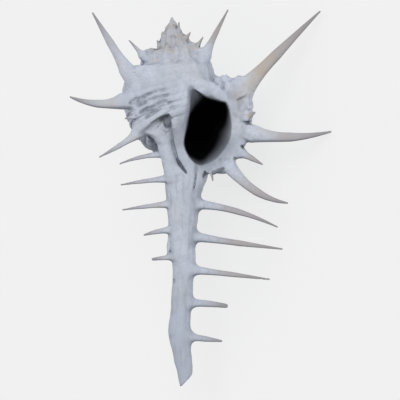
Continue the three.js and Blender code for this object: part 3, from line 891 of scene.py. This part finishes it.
# %% Lay the surface down
fine_mesh = bpy.data.meshes.new("fine_shell")
laid = np.array(lay_down)
fine_points = GRID_LOW + grid_points[whole] * VOXEL
fine_mesh.from_pydata(fine_points @ laid[:3, :3].T + laid[:3, 3], [], quads.tolist())
print("laid down at", [round(part / MM, 2) for part in laid[:3, 3]], "mm")

# %% Thin out the flat places
MOST_TRIANGLES = 186000

fine_shell = bpy.data.objects.new("fine_shell", fine_mesh)
bpy.context.scene.collection.objects.link(fine_shell)
thinning = fine_shell.modifiers.new("thinning", "DECIMATE")
thinning.ratio = min(1, MOST_TRIANGLES / (2 * len(quads)))
mesh = bpy.data.meshes.new_from_object(fine_shell.evaluated_get(bpy.context.evaluated_depsgraph_get()))
mesh.name = "murex_shell"
bpy.data.objects.remove(fine_shell)
bpy.data.meshes.remove(fine_mesh)
mesh.polygons.foreach_set("use_smooth", np.ones(len(mesh.polygons), bool))
shell = bpy.data.objects.new("murex_shell", mesh)
bpy.context.scene.collection.objects.link(shell)
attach(shell, "root")
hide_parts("shell")
print(len(mesh.vertices), "points,", len(mesh.loops) - 2 * len(mesh.polygons), "triangles left")

# %% [markdown]
# ## What the finish needs to know
#
# The colour follows the shape: spines turn warm and brownish towards their tips, creases and undersides get
# painted shade, and the mouth is painted black inside as shade. These are measured once at every point of
# the mesh and stored as attributes, which the material reads. They could be painted by hand, but then they
# would have to follow each change of shape.

# %% Points and normals of the mesh, back in the growth frame
shell_points = np.zeros(len(mesh.vertices) * 3, np.float32)
mesh.vertices.foreach_get("co", shell_points)
shell_points = (shell_points.reshape(-1, 3) - laid[:3, 3]) @ laid[:3, :3] / MM ** 2
normals = np.zeros(len(mesh.vertices) * 3, np.float32)
mesh.vertices.foreach_get("normal", normals)
normals = normals.reshape(-1, 3) @ np.array(Matrix.Rotation(roll, 3, "Y"))
x, y, z = shell_points.T
print("from apex to canal end, mm:", round(float(y.max() - y.min()), 1))


# %% How far along a spine each point lies
def spine_share(points):
    share = np.zeros(len(points))
    for path, radii, places in spine_paths:
        near = near_path(points, path, radii.max())
        if len(near):
            gap, where = nearest_on_path(points[near], path, radii, places)
            on_it = smooth_step(0.6, 0, gap) * where
            share[near] = np.maximum(share[near], on_it)
    return share


spine_places = spine_share(shell_points)
print(np.count_nonzero(spine_places), "points lie on spines")

# %% Creases and grooves for painted shade: how soon one meets the shell again, going straight out
CREASE_LOOKS = (0.4, 0.8, 1.5, 3)
GROOVE_LOOK = 0.6

open_share = np.zeros(len(shell_points))
for reach in CREASE_LOOKS:
    seen = shell_field(shell_points + normals * reach) / reach
    open_share += np.clip(seen, 0, 1) / len(CREASE_LOOKS)
# painted shade in narrow grooves: how soon the shell is met again 0.6 mm straight out
groove = 1 - np.clip(shell_field(shell_points + normals * GROOVE_LOOK) / GROOVE_LOOK, 0, 1)
print("mean openness", round(float(open_share.mean()), 3))

# %% The mouth, its lip and the cords beside it: where they get painted shade
# depths below the rim over which the mouth is painted black inside as shade
MOUTH_DARKENS = (-4.6, 4.6)
# the line under the lower edge of the lip, which gets painted shade
UNDER_LIP = [((6.9, -48.2, 2.9), 0.2), ((8.2, -47.6, 2.6), 0.5), ((9.2, -47.3, 3.6), 0.6),
             ((10.3, -47.4, 4.6), 0.5), ((11.8, -46.7, 5.6), 0.4), ((13.1, -46.2, 7.2), 0.2)]

mouth_gap = mouth_hollow(shell_points)
mouth_shade_share = smooth_step(*MOUTH_DARKENS, mouth_depth(x, y, z)) * smooth_step(0.5, 0.2, mouth_gap)
# painted shade on the lip's face where it slopes into the mouth at the lower right
lower_right_shade = smooth_step(-34, -40, y) * smooth_step(4, 8, x) * smooth_step(4.5, 0, mouth_gap)
# painted shade in the channel at the top of the canal and along the line under the lip
channel_shade = smooth_step(0.9, -0.4, rope(shell_points, CANAL_CHANNEL)) * smooth_step(-50.5, -46.5, y)
# painted shade where the mouth's left edge rounds down into it
lip_edge_shade = smooth_step(2.4, 0.2, mouth_gap) * smooth_step(7, 5, x) * smooth_step(-40, -34, y)
cord_gap = np.min([rope(shell_points, stations) for stations in CORD_GAPS], axis=0)
print(np.count_nonzero(mouth_shade_share > 0.5), "points lie in the dark of the mouth")

# %% Store the measures with the mesh
BEIGE_ROOT = [((19.4, -24.4, 8.4), 0.4), ((28, -15.4, 10), 0.8)]

measured = {
    "spine": spine_places,
    "warm": spine_places * smooth_step(-4, 8, x) * smooth_step(-84, -76, y),
    "crease_shade": 1 - open_share,
    "groove": groove,
    # painted shade in the pits, darker the deeper they are cut, left out in the cord gaps
    "pit_shade": smooth_step(0.05, 1.2, -uncut_field(shell_points)) * smooth_step(-0.6, 1, cord_gap),
    "mouth": mouth_shade_share,
    "inner_slope_shade": lower_right_shade * smooth_step(-2, 1, z),
    "channel_shade": np.maximum(channel_shade, smooth_step(0.6, 0, rope(shell_points, UNDER_LIP))),
    "apex": smooth_step(-22, -4, y) * smooth_step(14, 7, np.hypot(x, z)),
    "inner_lip_tone_and_edge_shade": np.maximum(lip_edge_shade, smooth_step(0.5, -0.2, rope(shell_points, INNER_LIP))
                        * smooth_step(-24, -27, y) * smooth_step(-43, -35, y)),
    # painted shade in the gaps between the cords left of the mouth
    "cord_gap": smooth_step(0.5, -0.1, cord_gap) * smooth_step(1, -8, x),
    "pipe": smooth_step(-44, -52, y),
    "canal": smooth_step(-55, -108, y),
    # painted shade where the surface faces away from the apex, the side the sun comes from
    "underside_shade": smooth_step(0.34, 0.96, -normals[:, 1]),
    "beige": smooth_step(3.4, 0.4, rope(shell_points, BEIGE_ROOT)),
}
for name, values in measured.items():
    attribute = mesh.attributes.new(name, "FLOAT", "POINT")
    attribute.data.foreach_set("value", values.astype(np.float32))
    print(name, "from", round(float(values.min()), 2), "to", round(float(values.max()), 2))

# %% [markdown]
# ## The chalky finish
#
# The shell is dry, matt lime with a cool blue-grey cast, a little warmer on the spines and the spire. The
# colours are mixed from noise and the measured attributes. Bump gives only the finest grain: every form that
# shows is in the mesh.

# %% Colours as the eye sees them, made linear
def linear(red, green, blue):
    parts = [part / 255 for part in (red, green, blue)]
    return (*[part / 12.92 if part <= 0.04045 else ((part + 0.055) / 1.055) ** 2.4 for part in parts], 1)


print("a middle grey of 128 is", round(linear(128, 128, 128)[0], 3), "in linear light")

# %% An empty finish
finish = bpy.data.materials.new("chalky shell")
finish.use_nodes = True
nodes, links = finish.node_tree.nodes, finish.node_tree.links
shader = nodes["Principled BSDF"]
mesh.materials.append(finish)
place_node = nodes.new("ShaderNodeTexCoord")
print("finish:", finish.name)


# %% Sources of values: a measure, a noise
def attribute_value(name):
    node = nodes.new("ShaderNodeAttribute")
    node.attribute_name = name
    return node.outputs["Fac"]


def noise(scale, detail, stretch=(1, 1, 1)):
    mapping = nodes.new("ShaderNodeMapping")
    mapping.inputs["Scale"].default_value = stretch
    links.new(place_node.outputs["Object"], mapping.inputs["Vector"])
    node = nodes.new("ShaderNodeTexNoise")
    node.inputs["Scale"].default_value = scale
    node.inputs["Detail"].default_value = detail
    links.new(mapping.outputs["Vector"], node.inputs["Vector"])
    return node.outputs["Fac"]


# %% Ways to combine them: a soft ramp, a product, a tint
def between(value, start, end, low=0, high=1):
    node = nodes.new("ShaderNodeMapRange")
    node.interpolation_type = "SMOOTHSTEP"
    for socket, number in zip(("From Min", "From Max", "To Min", "To Max"), (start, end, low, high)):
        node.inputs[socket].default_value = number
    links.new(value, node.inputs["Value"])
    return node.outputs["Result"]


def product(first, second):
    node = nodes.new("ShaderNodeMath")
    node.operation = "MULTIPLY"
    links.new(first, node.inputs[0])
    links.new(second, node.inputs[1])
    return node.outputs["Value"]


def tinted(colour, share, tint):
    node = nodes.new("ShaderNodeMix")
    node.data_type = "RGBA"
    links.new(share, node.inputs["Factor"])
    if isinstance(colour, tuple):
        node.inputs["A"].default_value = colour
    else:
        links.new(colour, node.inputs["A"])
    node.inputs["B"].default_value = tint
    return node.outputs["Result"]


# %% Colour of the chalky ground and its patches
spine_value = attribute_value("spine")
colour = tinted(linear(199, 205, 218), between(noise(90, 3), 0.4, 0.65), linear(189, 195, 207))
colour = tinted(colour, between(noise(420, 4), 0.42, 0.68, 0, 0.5), linear(178, 184, 195))
colour = tinted(colour, between(noise(1500, 2), 0.45, 0.75, 0, 0.45), linear(168, 174, 186))
# darker on the inner lip, and painted shade where the mouth's left edge rounds into it
colour = tinted(colour, between(attribute_value("inner_lip_tone_and_edge_shade"), 0, 1, 0, 0.9), linear(143, 148, 161))
colour = tinted(colour, between(attribute_value("canal"), 0, 1, 0, 0.7), linear(166, 174, 188))
# painted shade on the lip's inner slope at the lower right
colour = tinted(colour, between(attribute_value("inner_slope_shade"), 0, 1, 0, 0.6), linear(138, 145, 158))
streaks = between(noise(1000, 3, (1, 0.12, 1)), 0.5, 0.68, 0, 0.42)
colour = tinted(colour, product(attribute_value("pipe"), streaks), linear(158, 160, 168))
print(len(nodes), "nodes for the ground")

# %% Warm spines and spire
colour = tinted(colour, product(between(noise(60, 2), 0.45, 0.7), between(spine_value, 0, 0.2, 0.1, 0.6)),
                linear(190, 184, 174))
colour = tinted(colour, between(spine_value, 0.15, 0.6, 0, 0.4), linear(172, 168, 172))
colour = tinted(colour, between(attribute_value("warm"), 0.12, 0.5, 0, 0.6), linear(168, 160, 157))
colour = tinted(colour, between(spine_value, 0.5, 0.95, 0, 0.85), linear(148, 146, 149))
colour = tinted(colour, product(attribute_value("beige"), between(noise(240, 3), 0.3, 0.6, 0.3, 0.85)),
                linear(186, 174, 158))
colour = tinted(colour, product(attribute_value("apex"), between(noise(300, 3), 0.46, 0.62, 0, 0.75)),
                linear(188, 180, 170))
colour = tinted(colour, between(attribute_value("apex"), 0.3, 1, 0, 0.6), linear(172, 171, 172))
marks = between(noise(650, 3, (1, 0.4, 1)), 0.54, 0.7, 0, 0.6)
colour = tinted(colour, product(attribute_value("apex"), marks), linear(124, 120, 122))
print(len(nodes), "nodes with the warm places")

# %% Painted shade on undersides, grooves, creases and pits, and the mouth painted black inside as shade
# painted shade on the undersides
colour = tinted(colour, between(attribute_value("underside_shade"), 0, 1, 0, 0.75), linear(104, 109, 118))
# painted shade in narrow grooves
colour = tinted(colour, between(attribute_value("groove"), 0.04, 0.35, 0, 0.5), linear(138, 145, 157))
# painted shade in the creases, where the shell is met again soon going straight out
colour = tinted(colour, between(attribute_value("crease_shade"), 0.3, 0.75, 0, 0.8), linear(84, 90, 100))
# painted shade in the pits, broken up by noise
colour = tinted(colour, product(attribute_value("pit_shade"), between(noise(420, 3), 0.35, 0.6, 0.55, 0.9)),
                linear(66, 71, 80))
# painted shade in the canal's channel and under the lip's lower edge
colour = tinted(colour, between(attribute_value("channel_shade"), 0, 1, 0, 0.7), linear(88, 89, 99))
# painted shade in the gaps between the cords, broken up by noise
colour = tinted(colour, product(attribute_value("cord_gap"), between(noise(650, 3), 0.36, 0.6, 0.15, 0.75)),
                linear(112, 119, 131))
# the inside of the mouth painted black as shade
colour = tinted(colour, attribute_value("mouth"), linear(1, 1, 2))
links.new(colour, shader.inputs["Base Color"])
print(len(nodes), "nodes with the dark places")

# %% Roughness and the finest grain
shader.inputs["Specular IOR Level"].default_value = 0.07
links.new(between(noise(500, 3), 0.3, 0.7, 0.6, 0.8), shader.inputs["Roughness"])
grain = nodes.new("ShaderNodeBump")
grain.inputs["Strength"].default_value = 0.5
grain.inputs["Distance"].default_value = 0.00012
links.new(noise(1500, 4, (1, 0.5, 1)), grain.inputs["Height"])
links.new(grain.outputs["Normal"], shader.inputs["Normal"])
print(len(nodes), "nodes in all")
